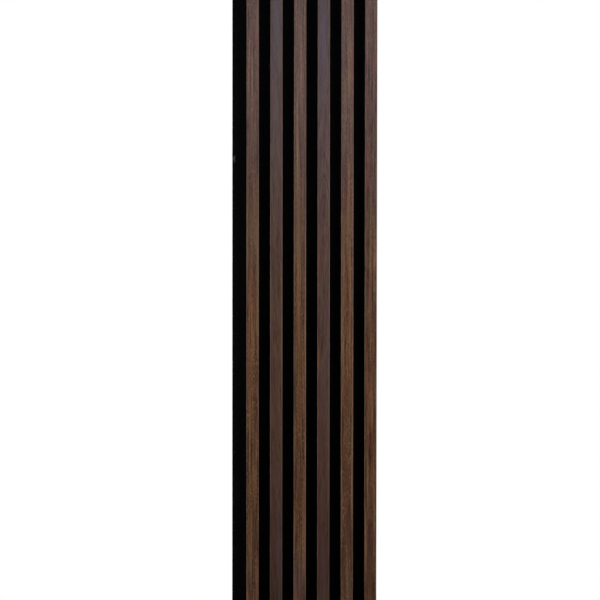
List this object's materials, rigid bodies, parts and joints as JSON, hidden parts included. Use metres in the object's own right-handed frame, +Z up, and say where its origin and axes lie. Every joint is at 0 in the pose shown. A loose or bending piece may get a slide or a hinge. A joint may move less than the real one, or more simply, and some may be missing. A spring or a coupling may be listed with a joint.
{
  "type": "acoustic slat wall panel",
  "caption": "Narrow acoustic slat wall panel: dark walnut wrapped slats in parallel on a black felt sheet, with an overhanging slat and a bare felt strip that lap between panels.",
  "frame": {"origin": "centre of the felt's back face, which lies against the wall", "axes": "+Z up along the slats, +X to the right as seen from the room, +Y into the wall, so the slats face -Y"},
  "size_m": [0.2451, 0.021, 1.2],
  "materials": {
    "black_felt": "matt needled polyester felt",
    "fibreboard": "raw sawn fibreboard",
    "walnut_facing_1": "satin dark walnut wrap, grain along the slat",
    "walnut_facing_2": "satin dark walnut wrap, grain along the slat",
    "walnut_facing_3": "satin dark walnut wrap, grain along the slat",
    "walnut_facing_4": "satin dark walnut wrap, grain along the slat",
    "walnut_facing_5": "satin dark walnut wrap, grain along the slat",
    "walnut_facing_6": "satin dark walnut wrap, grain along the slat",
    "staple_wire": "zinc-plated wire"
  },
  "bodies": {
    "root": {"felt_backing": "black_felt", "slat_1_core": "fibreboard", "slat_1_facing": "walnut_facing_1", "slat_2_core": "fibreboard", "slat_2_facing": "walnut_facing_2", "slat_3_core": "fibreboard", "slat_3_facing": "walnut_facing_3", "slat_4_core": "fibreboard", "slat_4_facing": "walnut_facing_4", "slat_5_core": "fibreboard", "slat_5_facing": "walnut_facing_5", "slat_6_core": "fibreboard", "slat_6_facing": "walnut_facing_6", "back_staples": "staple_wire"}
  },
  "joints": []
}
